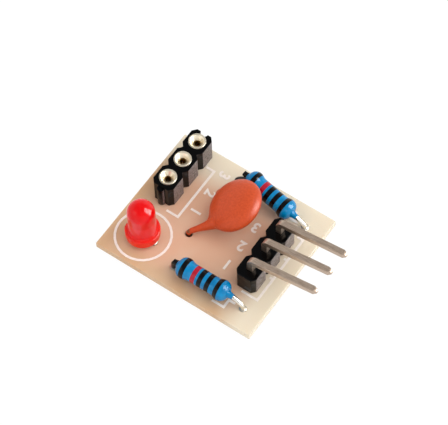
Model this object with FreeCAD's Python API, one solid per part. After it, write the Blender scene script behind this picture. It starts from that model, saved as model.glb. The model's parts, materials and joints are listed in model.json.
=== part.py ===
import FreeCAD, Part
import math
import os

V = FreeCAD.Vector
UP = V(0, 0, 1)

# Small single-sided circuit board that carries an empty three-way sensor socket, a light,
# a disc capacitor, two resistors and a three-pin header bent outwards.
# Lengths are in millimetres. The origin is the centre of the board's upper face, with X along
# the long edge towards the header, Y towards the rear resistor and Z up from the board.

# Circuit board, whose length and width follow from what stands on it
board_thickness = 0.8
drill_clearance = 0.13

# Copper on the underside
copper_thickness = 0.05
copper_gap = 0.4
copper_border = 0.75
pad_radius = 0.95
track_width = 0.7

# White print on the upper face
print_thickness = 0.03
print_line = 0.25
print_margin = 0.55
print_short = 1.75
ring_radius = 2.84

# Solder joints and the trimmed ends of the leads
solder_height = 0.7
solder_collar = 0.08
lead_stub = 0.3
wire_radius = 0.25
wire_bend = 0.7

# Sides of the polygons that stand for small round sections
wire_sides = 10
bend_steps = 3
sleeve_sides = 20
body_sides = 20
ring_sides = 30
neck_sides = 14
light_sides = 36
light_dome_bands = 6
disc_sides = 36

# Strip cells that the socket and the header share
pitch = 2.54
cell_count = 3
cell_flat = 1.6

# Socket strip with turned contacts
socket_inset = 2.72
socket_rear_inset = 4.11
socket_width = 2.5
socket_height = 3.0
socket_waist = 1.7
socket_tongue_radius = 0.4
socket_tongue_height = 2.7
socket_notch_radius = 0.42
sleeve_flange_radius = 0.915
sleeve_flange_height = 0.17
sleeve_radius = 0.66
sleeve_bore_radius = 0.45
sleeve_floor = 0.55
funnel_radius = 0.72
funnel_depth = 0.5
clip_bore_radius = 0.3
clip_collar = 0.45
clip_floor_gap = 0.42
clip_slot = 0.1
clip_fingers = 4

# Header strip and its bent pins
header_inset = 3.275
header_front_gap = 0.67
header_rear_gap = 0.52
header_width = 2.38
header_height = 2.54
header_waist = 1.6
pin_size = 0.64
pin_rise = 1.5
pin_reach = 7.4
pin_tilts = [12.0, 11.5, 8.8]
pin_bend = 0.62
pin_tip_length = 0.4
pin_tip_size = 0.3

# Light
light_inset_x = 3.42
light_inset_y = 3.36
light_to_resistor = 4.6
light_standoff = 0.5
light_radius = 1.43
light_length = 5.4
light_flange_radius = 1.8
light_flange_height = 1.0
light_flat = 0.25
light_lead_size = 0.46
light_lead_rise = 0.7
light_head_reach = 1.15
light_head_gap = 0.4
light_head_top = 1.9

# Disc capacitor that leans over its two leads
capacitor_from_header_x = 8.125
capacitor_from_header_y = 0.88
capacitor_span = 5.08
disc_radius = 2.95
disc_thickness = 2.3
disc_roundness = 2.6
disc_rings = 7
disc_reach = 3.26
disc_height = 2.67
disc_azimuth = 26.8
disc_tilt = 30.0
disc_lead_spread = 3.2
disc_lead_depth = 1.1
capacitor_knee_height = 0.42
capacitor_bend = 0.35
neck_radius = 0.38
neck_root_radius = 0.62

# Resistors
resistor_inset_x = 2.18
resistor_hole_span = 8.3
resistor_length = 5.9
resistor_bulb_radius = 1.12
resistor_waist_radius = 0.94
resistor_bulb_length = 1.6
resistor_end_radius = 0.42
resistor_taper = 0.6
resistor_lead_depth = 0.8
resistor_skin = 0.05
front_inset_y = 2.15
front_offset_x = -0.5
front_offset_y = -0.05
front_height = 1.3
front_yaw = 0.0
front_pitch = 0.0
front_knee_height = 0.6
rear_inset_y = 2.3
rear_offset_x = -0.3
rear_offset_y = 0.35
rear_height = 1.6
rear_yaw = -8.0
rear_pitch = 6.0
rear_knee_height = 0.3

# Sizes of the board, and places that follow
board_length = light_inset_x + light_to_resistor + resistor_hole_span + resistor_inset_x
front_room = front_inset_y + resistor_bulb_radius + header_front_gap
rear_room = rear_inset_y + resistor_bulb_radius + header_rear_gap
board_width = front_room + cell_count * pitch + rear_room
underside = -board_thickness
solder_top = underside - copper_thickness
lead_end = solder_top - solder_height - lead_stub
left_edge = -board_length / 2
right_edge = board_length / 2
front_edge = -board_width / 2
rear_edge = board_width / 2
socket_x = left_edge + socket_inset
socket_y = rear_edge - socket_rear_inset
header_x = right_edge - header_inset
header_y = front_edge + front_room + cell_count * pitch / 2
capacitor_x = header_x - capacitor_from_header_x
capacitor_y = header_y + capacitor_from_header_y
light_x = left_edge + light_inset_x
light_y = front_edge + light_inset_y


def cell_places(middle):
    """Places of the cells of a strip along Y, front first."""
    return [middle + (i - (cell_count - 1) / 2) * pitch for i in range(cell_count)]


def block(x0, x1, y0, y1, z0, z1):
    """Upright box between two corners."""
    return Part.makeBox(x1 - x0, y1 - y0, z1 - z0, V(x0, y0, z0))


def rod(x, y, z0, z1, radius):
    """Upright round bar."""
    return Part.makeCylinder(radius, z1 - z0, V(x, y, z0), UP)


def slab(points, z0, z1):
    """Plate with a polygon outline."""
    corners = [V(x, y, z0) for x, y in points]
    return Part.Face(outline(corners)).extrude(V(0, 0, z1 - z0))


def ring(centre, direction, across, radius, sides):
    """Corners of a regular polygon round a circle, with a flat side that faces across."""
    along = V(direction).normalize()
    first = (across - along * across.dot(along)).normalize()
    second = along.cross(first)
    reach = radius / math.cos(math.pi / sides)
    corners = []
    for i in range(sides):
        angle = (i + 0.5) * 2 * math.pi / sides
        corners.append(centre + first * (reach * math.cos(angle)) + second * (reach * math.sin(angle)))
    return corners


def outline(corners):
    """Closed outline through corners."""
    return Part.makePolygon(corners + corners[:1])


def faceted(profile, start, axis, across, sides):
    """Solid with flat facets round an axis, from distances along it and radii."""
    rings = [ring(start + axis * along, axis, across, radius, sides) for along, radius in profile]
    faces = [Part.Face(outline(rings[0])), Part.Face(outline(rings[-1]))]
    for low, high in zip(rings, rings[1:]):
        for i in range(sides):
            faces.append(Part.Face(outline([low[i - 1], low[i], high[i], high[i - 1]])))
    return Part.Solid(Part.makeShell(faces))


def post(x, y, z0, z1, radius, sides):
    """Upright bar with flat sides."""
    return faceted([(0, radius), (z1 - z0, radius)], V(x, y, z0), UP, V(1, 0, 0), sides)


def bend_points(before, corner, after, bend):
    """Start, middle and end of the tangent arc that rounds a corner."""
    inward = (before - corner).normalize()
    outward = (after - corner).normalize()
    half_turn = (math.pi - inward.getAngle(outward)) / 2
    room = 0.45 * min((before - corner).Length, (after - corner).Length)
    trim = min(bend * math.tan(half_turn), room)
    radius = trim / math.tan(half_turn)
    depth = radius / math.cos(half_turn) - radius
    middle = corner + (inward + outward).normalize() * depth
    return corner + inward * trim, middle, corner + outward * trim


def bent_path(points, bend):
    """Wire of straight runs joined by tangent arcs."""
    edges = []
    start = points[0]
    for before, corner, after in zip(points, points[1:], points[2:]):
        arc_start, middle, arc_end = bend_points(before, corner, after, bend)
        edges.append(Part.LineSegment(start, arc_start).toShape())
        edges.append(Part.Arc(arc_start, middle, arc_end).toShape())
        start = arc_end
    edges.append(Part.LineSegment(start, points[-1]).toShape())
    return Part.Wire(edges)


def round_wire(points, radius, bend):
    """Round wire along straight runs and bends, starting upwards."""
    path = bent_path(points, bend)
    stations = []
    for edge in path.OrderedEdges:
        steps = 1 if edge.Curve.TypeId == "Part::GeomLine" else bend_steps
        for i in range(steps + 1):
            place = edge.FirstParameter + (edge.LastParameter - edge.FirstParameter) * i / steps
            stations.append((edge.valueAt(place), edge.tangentAt(place)))
    rings = []
    across = V(1, 0, 0)
    for i, (centre, direction) in enumerate(stations):
        if i and centre.distanceToPoint(stations[i - 1][0]) < radius / 100:
            continue
        across = (across - direction * across.dot(direction)).normalize()
        rings.append(outline(ring(centre, direction, across, radius, wire_sides)))
    return Part.makeLoft(rings, True, True)


def square_section(centre, direction, side, size):
    """Square outline across a direction, with one pair of edges along side."""
    across = direction.cross(side).normalize() * (size / 2)
    along = V(side).normalize() * (size / 2)
    corners = [centre + along + across, centre + along - across, centre - along - across, centre - along + across]
    return outline(corners)


def strip_outline(middle_x, middle_y, width, waist):
    """Outline of a strip whose cells have flat sides and chamfers between them."""
    inset = (pitch - cell_flat) / 2
    right_side = []
    for y in cell_places(middle_y):
        right_side.append((middle_x + waist / 2, y - pitch / 2))
        right_side.append((middle_x + width / 2, y - pitch / 2 + inset))
        right_side.append((middle_x + width / 2, y + pitch / 2 - inset))
    right_side.append((middle_x + waist / 2, cell_places(middle_y)[-1] + pitch / 2))
    left_side = [(2 * middle_x - x, y) for x, y in reversed(right_side)]
    return right_side + left_side


def lead_places():
    """Centre of every lead that passes through the board, by name."""
    places = {}
    for i, y in enumerate(cell_places(socket_y)):
        places[f"socket_{i + 1}"] = (socket_x, y)
    for i, y in enumerate(cell_places(header_y)):
        places[f"header_{i + 1}"] = (header_x, y)
    places["led_cathode"] = (light_x - pitch / 2, light_y)
    places["led_anode"] = (light_x + pitch / 2, light_y)
    places["capacitor_1"] = (capacitor_x, capacitor_y - capacitor_span / 2)
    places["capacitor_2"] = (capacitor_x, capacitor_y + capacitor_span / 2)
    outer_x = right_edge - resistor_inset_x
    inner_x = outer_x - resistor_hole_span
    places["resistor_front_1"] = (inner_x, front_edge + front_inset_y)
    places["resistor_front_2"] = (outer_x, front_edge + front_inset_y)
    places["resistor_rear_1"] = (inner_x, rear_edge - rear_inset_y)
    places["resistor_rear_2"] = (outer_x, rear_edge - rear_inset_y)
    return places


def lead_radius(name):
    """Radius of the circle round a lead, which is the half diagonal of a square one."""
    if name.startswith("header"):
        return pin_size / math.sqrt(2)
    if name.startswith("led"):
        return light_lead_size / math.sqrt(2)
    return wire_radius


def drills(z0, z1):
    """Drilled holes of all the leads between two heights."""
    holes = []
    for name, (x, y) in lead_places().items():
        holes.append(post(x, y, z0, z1, lead_radius(name) + drill_clearance, wire_sides))
    return holes


def circuit_board():
    """Plain laminate plate with a drilled hole for each lead."""
    plate = block(left_edge, right_edge, front_edge, rear_edge, underside, 0)
    return plate.cut(drills(underside - 1, 1))


def track(points, width):
    """Copper track along a route, with a faceted disc at each corner."""
    pieces = []
    for x, y in points:
        pieces.append(post(x, y, solder_top, underside, width / 2, wire_sides))
    for (x0, y0), (x1, y1) in zip(points, points[1:]):
        run = V(x1 - x0, y1 - y0, 0)
        across = V(-run.y, run.x, 0).normalize() * (width / 2)
        corners = [(x0 + across.x, y0 + across.y), (x1 + across.x, y1 + across.y)]
        corners += [(x1 - across.x, y1 - across.y), (x0 - across.x, y0 - across.y)]
        pieces.append(slab(corners, solder_top, underside))
    return pieces


def net_routes():
    """Routes of the tracks of each net, and the leads on its pads."""
    p = lead_places()
    rear_lane = rear_edge - copper_border
    side_lane = right_edge - copper_border
    middle_lane = (socket_x + capacitor_x) / 2 + 0.1
    supply = [
        [p["header_3"], p["resistor_rear_2"], (p["resistor_rear_2"][0], rear_lane)],
        [(p["resistor_rear_2"][0], rear_lane), (socket_x, rear_lane), p["socket_3"]],
        [p["header_3"], (capacitor_x + pitch, header_y + pitch), p["capacitor_2"]],
    ]
    signal = [
        [p["header_2"], (side_lane, header_y), (side_lane, p["resistor_front_2"][1]), p["resistor_front_2"]],
        [p["header_2"], (capacitor_x, header_y + 0.6), (middle_lane, p["socket_2"][1]), p["socket_2"]],
        [(middle_lane, p["socket_2"][1]), (middle_lane, p["resistor_rear_1"][1]), p["resistor_rear_1"]],
    ]
    light = [[p["led_anode"], p["resistor_front_1"]]]
    return {
        "copper_supply": (supply, ["header_3", "resistor_rear_2", "socket_3", "capacitor_2"]),
        "copper_signal": (signal, ["header_2", "resistor_front_2", "socket_2", "resistor_rear_1"]),
        "copper_light": (light, ["led_anode", "resistor_front_1"]),
    }


def net_copper(routes, pads, growth):
    """Fused copper of one net, grown outwards by a gap."""
    places = lead_places()
    pieces = []
    for route in routes:
        pieces += track(route, track_width + 2 * growth)
    for name in pads:
        x, y = places[name]
        pieces.append(post(x, y, solder_top, underside, pad_radius + growth, wire_sides))
    return pieces[0].fuse(pieces[1:]).removeSplitter()


def copper_nets():
    """Copper islands on the underside, with the ground as a fill round the others."""
    border = copper_border / 2
    fill = block(left_edge + border, right_edge - border, front_edge + border, rear_edge - border, solder_top, underside)
    nets = {}
    for name, (routes, pads) in net_routes().items():
        nets[name] = net_copper(routes, pads, 0).cut(drills(solder_top - 1, 0))
        fill = fill.cut(net_copper(routes, pads, copper_gap))
    fill = fill.cut(drills(solder_top - 1, 0))
    nets["copper_ground"] = max(fill.Solids, key=lambda solid: solid.Volume)
    return nets


def print_bar(x0, x1, y0, y1):
    """Bar of white print along X or Y, half a line wide round its middle line."""
    half = print_line / 2
    return block(x0 - half, x1 + half, y0 - half, y1 + half, 0, print_thickness)


def board_print():
    """White outlines on the board: light ring, strip boxes and resistor corners."""
    circle = post(light_x, light_y, 0, print_thickness, ring_radius + print_line / 2, ring_sides)
    bars = [circle.cut(post(light_x, light_y, -1, 1, ring_radius - print_line / 2, ring_sides))]
    half = cell_count * pitch / 2
    socket_line = socket_x + socket_width / 2 + 2 * print_margin
    socket_low = socket_y - half - print_margin
    socket_high = socket_y + half - print_short
    bars.append(print_bar(socket_line, socket_line, socket_low, socket_high))
    bars.append(print_bar(socket_line - pitch / 2, socket_line, socket_low, socket_low))
    bars.append(print_bar(socket_line - pitch / 3, socket_line, socket_high, socket_high))
    header_line = header_x + header_width / 2 + print_margin
    for low, high in zip(cell_places(header_y), cell_places(header_y)[1:]):
        edge = (low + high) / 2
        bars.append(print_bar(header_line - print_margin / 2, header_line, edge, edge))
    header_low = header_y - half - print_line
    header_high = header_y + half + print_line
    bars.append(print_bar(header_line, header_line, header_low, header_high))
    bars.append(print_bar(header_x, header_line, header_low, header_low))
    bars.append(print_bar(header_line - print_margin, header_line, header_high, header_high))
    places = lead_places()
    for name, side in (("resistor_front", -1), ("resistor_rear", 1)):
        hole_x, y = places[f"{name}_2"]
        corner_x = hole_x - resistor_hole_span / 5
        corner_y = y + side * resistor_waist_radius
        bars.append(print_bar(corner_x, corner_x, min(y, corner_y), max(y, corner_y)))
        bars.append(print_bar(corner_x - pitch / 2, corner_x, corner_y, corner_y))
        bars.append(print_bar(corner_x, corner_x + pitch / 4, y, y))
    return bars[0].fuse(bars[1:]).removeSplitter()


def socket_housing():
    """Moulded strip with chamfered cells, a hole for each sleeve and broken-off ends."""
    body = slab(strip_outline(socket_x, socket_y, socket_width, socket_waist), 0, socket_height)
    front = socket_y - cell_count * pitch / 2
    rear = socket_y + cell_count * pitch / 2
    body = body.fuse(post(socket_x, front, 0, socket_tongue_height, socket_tongue_radius, sleeve_sides))
    body = body.cut(post(socket_x, rear, -1, socket_height + 1, socket_notch_radius, sleeve_sides))
    for y in cell_places(socket_y):
        body = body.cut(post(socket_x, y, -1, socket_height + 1, sleeve_radius, sleeve_sides))
    return body.removeSplitter()


def socket_sleeve(y):
    """Sleeve with a flange, a lead-in funnel, a blind bore and a thin tail."""
    base = V(socket_x, y, 0)
    top = socket_height + sleeve_flange_height
    outside = [
        (0, sleeve_radius),
        (socket_height, sleeve_radius),
        (socket_height, sleeve_flange_radius),
        (top, sleeve_flange_radius),
    ]
    inside = [
        (sleeve_floor, sleeve_bore_radius),
        (top - funnel_depth, sleeve_bore_radius),
        (top, funnel_radius),
    ]
    sleeve = faceted(outside, base, UP, V(1, 0, 0), sleeve_sides)
    sleeve = sleeve.cut(faceted(inside, base, UP, V(1, 0, 0), sleeve_sides))
    return sleeve.fuse(post(socket_x, y, lead_end, 0, wire_radius, wire_sides)).removeSplitter()


def socket_clip(y):
    """Spring clip in the sleeve: a closed collar above straight fingers, with a round bore."""
    top = socket_height + sleeve_flange_height - funnel_depth
    clip_end = sleeve_floor + clip_floor_gap
    clip = post(socket_x, y, clip_end, top, sleeve_bore_radius, sleeve_sides)
    clip = clip.cut(rod(socket_x, y, clip_end - 1, top + 1, clip_bore_radius))
    reach = 2 * sleeve_bore_radius
    for i in range(clip_fingers // 2):
        slot = block(-reach, reach, -clip_slot / 2, clip_slot / 2, 0, top - clip_collar)
        slot.rotate(V(0, 0, 0), UP, 45 + i * 360 / clip_fingers)
        clip = clip.cut(slot.translate(V(socket_x, y, 0)))
    return clip


def header_pin(y, degrees):
    """Square pin, upright through the board and strip, bent over the board's edge."""
    tilt = math.radians(degrees)
    run = V(math.cos(tilt), 0, math.sin(tilt))
    corner = V(header_x, y, header_height + pin_rise)
    start = V(header_x, y, lead_end)
    end = corner + run * pin_reach
    path = bent_path([start, corner, end], pin_bend)
    section = square_section(start, UP, V(0, 1, 0), pin_size)
    pin = path.makePipeShell([section], True, True)
    base = square_section(end, run, V(0, 1, 0), pin_size)
    tip = square_section(end + run * pin_tip_length, run, V(0, 1, 0), pin_tip_size)
    return pin.fuse(Part.makeLoft([base, tip], True, True)).removeSplitter()


def header_housing(pins):
    """Moulded strip with chamfered cells and a square hole round each pin."""
    body = slab(strip_outline(header_x, header_y, header_width, header_waist), 0, header_height)
    return body.cut(pins)


def light_lead(side):
    """Square lead of the light, with its wider head inside the lens."""
    x = light_x + side * pitch / 2
    half = light_lead_size / 2
    step = light_standoff + light_lead_rise
    leg = block(x - half, x + half, light_y - half, light_y + half, lead_end, step)
    low, high = sorted((light_x + side * light_head_gap / 2, light_x + side * light_head_reach))
    top = light_standoff + light_head_top
    head = block(low, high, light_y - half, light_y + half, step - light_lead_size, top)
    return leg.fuse(head).removeSplitter()


def light_lens(leads):
    """Epoxy body with a flat on its flange and a domed end, cast round its leads."""
    profile = [
        (0, light_flange_radius),
        (light_flange_height, light_flange_radius),
        (light_flange_height, light_radius),
    ]
    dome = light_length - light_radius
    for i in range(light_dome_bands):
        angle = math.pi / 2 * i / light_dome_bands
        profile.append((dome + light_radius * math.sin(angle), light_radius * math.cos(angle)))
    profile.append((light_length, light_radius / 30))
    lens = faceted(profile, V(light_x, light_y, light_standoff), UP, V(1, 0, 0), light_sides)
    edge = light_x - light_flange_radius + light_flat
    away = 2 * light_flange_radius
    flat = block(edge - away, edge, light_y - away, light_y + away, -1, light_standoff + light_flange_height)
    return lens.cut(flat).cut(leads)


def disc_frame():
    """Centre of the capacitor's disc, its upward normal, its low direction and its side direction."""
    azimuth = math.radians(disc_azimuth)
    tilt = math.radians(disc_tilt)
    away = V(math.cos(azimuth), math.sin(azimuth), 0)
    centre = V(capacitor_x, capacitor_y, disc_height) + away * disc_reach
    low = away * -math.cos(tilt) - UP * math.sin(tilt)
    normal = UP * math.cos(tilt) - away * math.sin(tilt)
    side = V(math.sin(azimuth), -math.cos(azimuth), 0)
    return centre, normal, low, side


def capacitor_path(side_sign):
    """Points of a capacitor lead from its trimmed end to its end inside the disc."""
    centre, normal, low, side = disc_frame()
    x = capacitor_x
    y = capacitor_y - side_sign * capacitor_span / 2
    inside = centre + side * (side_sign * disc_lead_spread / 2) + low * (disc_radius - disc_lead_depth)
    return [V(x, y, lead_end), V(x, y, capacitor_knee_height), inside]


def capacitor_lead(side_sign):
    """Wire of the capacitor, upright in the board and bent towards the disc."""
    return round_wire(capacitor_path(side_sign), wire_radius, capacitor_bend)


def capacitor_neck(side_sign):
    """Coating that runs down a lead and widens into the disc."""
    foot, knee, inside = capacitor_path(side_sign)
    neck_start = bend_points(foot, knee, inside, capacitor_bend)[2]
    neck = inside - neck_start
    profile = [
        (0, (wire_radius + neck_radius) / 2),
        (neck.Length * 0.4, neck_radius),
        (neck.Length * 0.75, (neck_radius + neck_root_radius) / 2),
        (neck.Length, neck_root_radius),
    ]
    return faceted(profile, neck_start, neck.normalize(), UP, neck_sides)


def capacitor_body(leads):
    """Dipped disc, thicker in the middle, with a coated neck on each lead."""
    centre, normal, low, side = disc_frame()
    profile = []
    for i in range(disc_rings + 1):
        angle = math.pi * (0.5 + i) / (disc_rings + 1)
        radius = disc_radius * math.sin(angle) ** (2 / disc_roundness)
        profile.append((-math.cos(angle) * disc_thickness / 2, radius))
    body = faceted(profile, centre, normal, low, disc_sides)
    return body.fuse([capacitor_neck(1), capacitor_neck(-1)]).cut(leads)


def resistor_frame(name):
    """Centre of a resistor and the direction of its axis from its inner to its outer end."""
    inner_x, y = lead_places()[f"{name}_1"]
    outer_x = lead_places()[f"{name}_2"][0]
    if name == "resistor_front":
        offset = V(front_offset_x, front_offset_y, front_height)
        yaw, tilt = front_yaw, front_pitch
    else:
        offset = V(rear_offset_x, rear_offset_y, rear_height)
        yaw, tilt = rear_yaw, rear_pitch
    centre = V((inner_x + outer_x) / 2, y, 0) + offset
    yaw, tilt = math.radians(yaw), math.radians(tilt)
    return centre, V(math.cos(yaw) * math.cos(tilt), math.sin(yaw) * math.cos(tilt), -math.sin(tilt))


def resistor_lead(name, end):
    """Wire of a resistor, bent down to its hole; end 1 is the inner and 2 the outer one."""
    centre, axis = resistor_frame(name)
    sign = 2 * end - 3
    x, y = lead_places()[f"{name}_{end}"]
    inside = centre + axis * (sign * (resistor_length / 2 - resistor_lead_depth))
    leaving = centre + axis * (sign * (resistor_length / 2 + resistor_taper))
    foot = V(x, y, lead_end)
    if end == 1:
        return round_wire([foot, V(x, y, leaving.z), inside], wire_radius, wire_bend)
    knee_height = front_knee_height if name == "resistor_front" else rear_knee_height
    return round_wire([foot, V(x, y, knee_height), leaving, inside], wire_radius, wire_bend)


def resistor_profile():
    """Half of a resistor's outline as distance from its middle and radius, out to the lead."""
    half = resistor_length / 2
    crest = half - resistor_bulb_length / 2
    shoulder = half - resistor_bulb_length
    points = [(shoulder, resistor_waist_radius)]
    for share in (0.5, 1.0):
        swell = (1 - math.cos(math.pi * share)) / 2
        radius = resistor_waist_radius + (resistor_bulb_radius - resistor_waist_radius) * swell
        points.append((shoulder + (crest - shoulder) * share, radius))
    for degrees in (35, 65, 90):
        angle = math.radians(degrees)
        drop = resistor_end_radius + (resistor_bulb_radius - resistor_end_radius) * math.cos(angle)
        points.append((crest + (half - crest) * math.sin(angle), drop))
    points.append((half + resistor_taper, wire_radius + resistor_skin))
    return points


def resistor_body(name, leads):
    """Lacquered body with a bulb over each end cap and a slimmer middle."""
    centre, axis = resistor_frame(name)
    half_profile = resistor_profile()
    profile = [(-x, radius) for x, radius in reversed(half_profile)] + half_profile
    return faceted(profile, centre, axis, UP, body_sides).cut(leads)


def solder_joint(name, lead):
    """Concave cone of solder between a pad and its lead."""
    x, y = lead_places()[name]
    tip = lead_radius(name) + solder_collar
    base = pad_radius - copper_gap / 4
    waist = tip + (base - tip) / 3
    profile = [(0, base), (solder_height / 3, waist), (solder_height, tip)]
    return faceted(profile, V(x, y, solder_top), -UP, V(1, 0, 0), wire_sides).cut(lead)


def build():
    """All the pieces of the module, by node name."""
    parts = {"circuit_board": circuit_board(), "board_print": board_print()}
    parts.update(copper_nets())
    leads = {}
    parts["socket_housing"] = socket_housing()
    for i, y in enumerate(cell_places(socket_y)):
        leads[f"socket_{i + 1}"] = socket_sleeve(y)
        parts[f"socket_sleeve_{i + 1}"] = leads[f"socket_{i + 1}"]
        parts[f"socket_clip_{i + 1}"] = socket_clip(y)
    pins = [header_pin(y, degrees) for y, degrees in zip(cell_places(header_y), pin_tilts)]
    parts["header_housing"] = header_housing(pins)
    for i, pin in enumerate(pins):
        leads[f"header_{i + 1}"] = pin
        parts[f"header_pin_{i + 1}"] = pin
    leads["led_cathode"] = light_lead(-1)
    leads["led_anode"] = light_lead(1)
    parts["led_lens"] = light_lens([leads["led_cathode"], leads["led_anode"]])
    parts["led_cathode_lead"] = leads["led_cathode"]
    parts["led_anode_lead"] = leads["led_anode"]
    for i, side_sign in enumerate((1, -1)):
        leads[f"capacitor_{i + 1}"] = capacitor_lead(side_sign)
        parts[f"capacitor_lead_{i + 1}"] = leads[f"capacitor_{i + 1}"]
    parts["capacitor_body"] = capacitor_body([leads["capacitor_1"], leads["capacitor_2"]])
    for name in ("resistor_front", "resistor_rear"):
        for end in (1, 2):
            leads[f"{name}_{end}"] = resistor_lead(name, end)
            parts[f"{name}_lead_{end}"] = leads[f"{name}_{end}"]
        parts[f"{name}_body"] = resistor_body(name, [leads[f"{name}_1"], leads[f"{name}_2"]])
    for name, lead in leads.items():
        parts[f"solder_{name}"] = solder_joint(name, lead)
    return parts


os.makedirs("parts", exist_ok=True)
for node, shape in build().items():
    print(node, "solids", len(shape.Solids), "volume", round(shape.Volume, 4), "valid", shape.isValid())
    shape.exportStep(f"parts/{node}.step")
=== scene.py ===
# %% [markdown]
# This lesson dresses a small sensor board in Blender. The solids come from a CAD program and
# are loaded as a fixed frame, so every new piece goes where its solid stands. All lengths in
# Blender are metres here, the board is only about 18 mm long, and sizes are written in mm.

# %% Load the frame
import json
import math
import bpy
from mathutils import Matrix, Vector

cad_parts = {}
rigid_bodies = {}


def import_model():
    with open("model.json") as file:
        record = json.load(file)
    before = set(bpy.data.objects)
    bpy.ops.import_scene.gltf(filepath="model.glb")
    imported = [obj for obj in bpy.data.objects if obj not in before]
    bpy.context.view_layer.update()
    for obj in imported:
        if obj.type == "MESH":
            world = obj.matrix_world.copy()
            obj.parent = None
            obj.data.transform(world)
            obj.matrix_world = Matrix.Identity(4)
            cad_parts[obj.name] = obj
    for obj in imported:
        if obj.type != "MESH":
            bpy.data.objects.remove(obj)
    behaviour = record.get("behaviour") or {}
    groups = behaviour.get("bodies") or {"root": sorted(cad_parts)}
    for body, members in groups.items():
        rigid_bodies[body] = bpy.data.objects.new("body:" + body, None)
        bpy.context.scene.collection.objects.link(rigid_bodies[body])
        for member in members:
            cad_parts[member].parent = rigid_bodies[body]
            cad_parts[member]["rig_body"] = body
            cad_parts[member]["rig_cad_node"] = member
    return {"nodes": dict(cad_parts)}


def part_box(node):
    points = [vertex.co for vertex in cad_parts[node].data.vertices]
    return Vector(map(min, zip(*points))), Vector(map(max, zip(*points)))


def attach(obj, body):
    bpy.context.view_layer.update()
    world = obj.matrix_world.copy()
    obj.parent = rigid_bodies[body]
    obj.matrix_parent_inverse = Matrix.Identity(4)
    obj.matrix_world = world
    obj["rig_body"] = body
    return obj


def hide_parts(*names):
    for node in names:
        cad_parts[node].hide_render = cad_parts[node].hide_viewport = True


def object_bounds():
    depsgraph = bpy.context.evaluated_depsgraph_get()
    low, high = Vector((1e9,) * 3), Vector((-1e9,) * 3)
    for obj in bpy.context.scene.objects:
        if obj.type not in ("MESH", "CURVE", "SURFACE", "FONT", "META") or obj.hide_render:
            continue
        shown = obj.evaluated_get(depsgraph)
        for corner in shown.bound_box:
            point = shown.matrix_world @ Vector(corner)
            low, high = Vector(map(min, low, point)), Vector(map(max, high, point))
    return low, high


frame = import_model()
cad_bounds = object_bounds()
nodes = frame["nodes"]
MM = 0.001
print("CAD nodes:", len(nodes))
print("box in mm:", [[round(v / MM, 2) for v in corner] for corner in cad_bounds])

# %% [markdown]
# Every lead on a board goes down through a hole and is soldered underneath, so the middle of
# each solder joint's box says where that lead stands. The pieces above are placed from these.

# %% Places of the leads
lead_names = [f"{kind}_{number}" for kind in ("socket", "header") for number in (1, 2, 3)]
lead_names += ["led_cathode", "led_anode"]
for kind in ("capacitor", "resistor_front", "resistor_rear"):
    lead_names += [f"{kind}_1", f"{kind}_2"]
leads = {}
for name in lead_names:
    lowest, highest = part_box(f"solder_{name}")
    leads[name] = [round((a + b) / 2 / MM, 4) for a, b in zip(lowest, highest)][:2]
lead_end, copper_under = round(cad_bounds[0][2] / MM, 4), round(highest.z / MM, 4)
print("leads:", leads)

# %% [markdown]
# The camera comes next, because it decides which details matter. A long lens from far away
# gives the flat perspective of a product photograph. The three angles were found by fitting
# the board's corners, and give the camera's right, up and backward directions.

# %% Camera
azimuth, elevation, roll = math.radians(35.992), math.radians(59.931), math.radians(-1.666)
camera_shift_right, camera_shift_up, camera_distance = 0.7912 * MM, 1.9606 * MM, 204.388 * MM
focal_pixels, image_width = 2042.8, 448

away = Vector((
    math.sin(azimuth) * math.cos(elevation), -math.cos(azimuth) * math.cos(elevation), math.sin(elevation)))
level_right = Vector((math.cos(azimuth), math.sin(azimuth), 0))
level_up = away.cross(level_right)
right = level_right * math.cos(roll) + level_up * math.sin(roll)
up = away.cross(right)

bpy.ops.object.camera_add()
camera = bpy.context.object
camera.name = "photo_camera"
camera.data.sensor_width = 36.0
camera.data.lens = focal_pixels / image_width * camera.data.sensor_width
camera.data.clip_start = 0.005
camera.matrix_world = Matrix((
    (right.x, up.x, away.x, 0), (right.y, up.y, away.y, 0), (right.z, up.z, away.z, 0), (0, 0, 0, 1)))
camera.location = right * camera_shift_right + up * camera_shift_up + away * camera_distance
bpy.context.scene.camera = camera
print("camera at mm:", [round(v / MM, 1) for v in camera.location], "lens", round(camera.data.lens, 2))

# %% [markdown]
# Colours are written as sRGB hex values, the way a paint chart gives them, and one function
# turns them to the linear numbers that shaders use. A second small function adds any node
# with its settings and links, so each material below reads as a short list. No real surface
# has one flat colour, so a third function mottles a material between two close colours.

# %% Colour and node helpers
def linear(hex_colour):
    """Linear RGBA from an sRGB hex value such as #C04A22."""
    channels = [int(hex_colour[i:i + 2], 16) / 255 for i in (1, 3, 5)]
    bent = [c / 12.92 if c <= 0.04045 else ((c + 0.055) / 1.055) ** 2.4 for c in channels]
    return (*bent, 1.0)


def add_node(material, kind, inputs=None, **settings):
    """Adds a shader node; each input gets a value, or a link when a socket is given.

    A Mix node has several inputs of one name, so its colours go by number: 6 and 7."""
    tree = material.node_tree
    node = tree.nodes.new(kind)
    for name, value in settings.items():
        setattr(node, name, value)
    for key, value in (inputs or {}).items():
        if isinstance(value, bpy.types.NodeSocket):
            tree.links.new(value, node.inputs[key])
        else:
            node.inputs[key].default_value = value
    return node


def shader(material):
    """The material's own Principled shader."""
    return material.node_tree.nodes["Principled BSDF"]


def feed(material, socket, output):
    """Links a pattern to one of the shader's sockets."""
    material.node_tree.links.new(output, shader(material).inputs[socket])


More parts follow.
